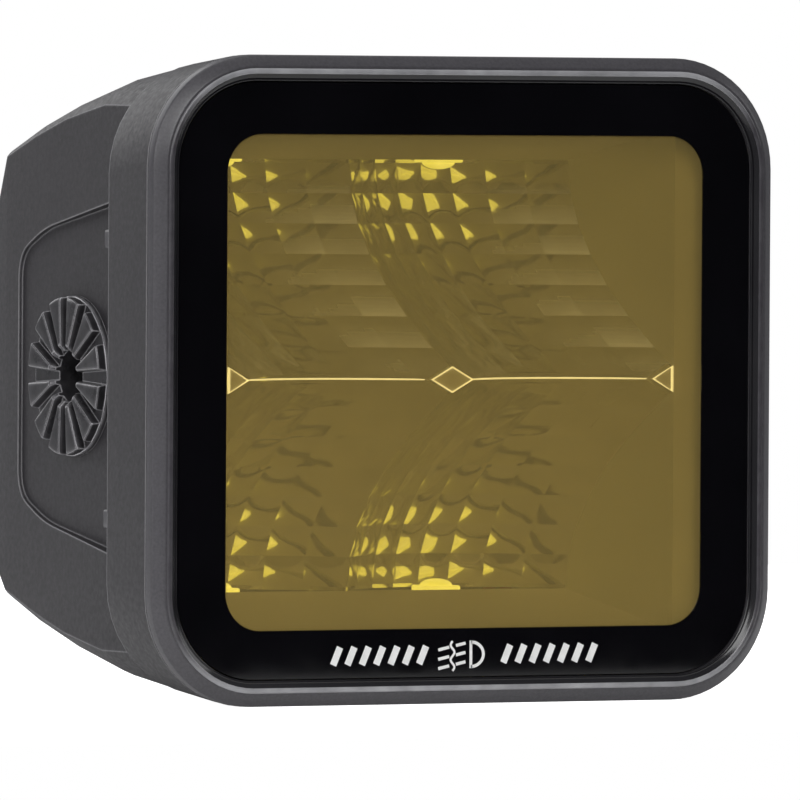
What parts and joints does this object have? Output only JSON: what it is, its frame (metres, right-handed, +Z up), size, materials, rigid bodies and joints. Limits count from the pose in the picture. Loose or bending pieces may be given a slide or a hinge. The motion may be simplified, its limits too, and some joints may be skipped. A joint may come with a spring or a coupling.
{
  "type": "fog light",
  "caption": "Square LED fog light: die-cast housing with rear fins, clipped bezel, amber lens, faceted four-bowl reflector and serrated side hubs.",
  "frame": {"origin": "on the tilt axis through the two side hubs, midway between them", "axes": "-Y is the way the lamp shines, +X runs along the tilt axis to the lamp's right-hand side seen from its front, +Z is up"},
  "size_m": [0.091, 0.072, 0.084],
  "materials": {
    "housing_coat": "matte black powder coat on a die casting",
    "bezel_plastic": "black, fine satin grain",
    "amber_lens": "clear amber polycarbonate, gloss",
    "black_print": "black border on the lens, gloss",
    "seal_rubber": "matte",
    "metallised": "vacuum-metallised reflector",
    "hub_steel": "black oxide",
    "led_board": "white solder mask on an aluminium board",
    "led_phosphor": "yellow phosphor",
    "thermal_pad": "matte",
    "screw_steel": "zinc plated",
    "driver_board": "green solder mask, satin",
    "copper_winding": "enamelled winding on a ferrite core",
    "capacitor_sleeve": "dark sleeve",
    "black_epoxy": "moulded epoxy",
    "connector_nylon": "natural nylon",
    "lead_insulation": "red insulation",
    "gland_nylon": "black nylon",
    "membrane": "white breathable film"
  },
  "bodies": {
    "root": {"housing": "housing_coat", "bezel": "bezel_plastic", "lens": "amber_lens", "lens_mask": "black_print", "lens_gasket": "seal_rubber", "reflector": "metallised", "hub_insert_left": "hub_steel", "hub_insert_right": "hub_steel", "led_board_upper": "led_board", "led_board_lower": "led_board", "leds_upper": "led_phosphor", "leds_lower": "led_phosphor", "thermal_pad_upper": "thermal_pad", "thermal_pad_lower": "thermal_pad", "led_board_screws": "screw_steel", "driver_board": "driver_board", "driver_screws": "screw_steel", "inductor": "copper_winding", "capacitors": "capacitor_sleeve", "power_transistors": "black_epoxy", "board_connectors": "connector_nylon", "led_leads_upper": "lead_insulation", "led_leads_lower": "lead_insulation", "cable_gland": "gland_nylon", "gland_seal": "seal_rubber", "gland_nut": "gland_nylon", "breather_vent": "gland_nylon", "vent_membrane": "membrane"}
  },
  "joints": []
}
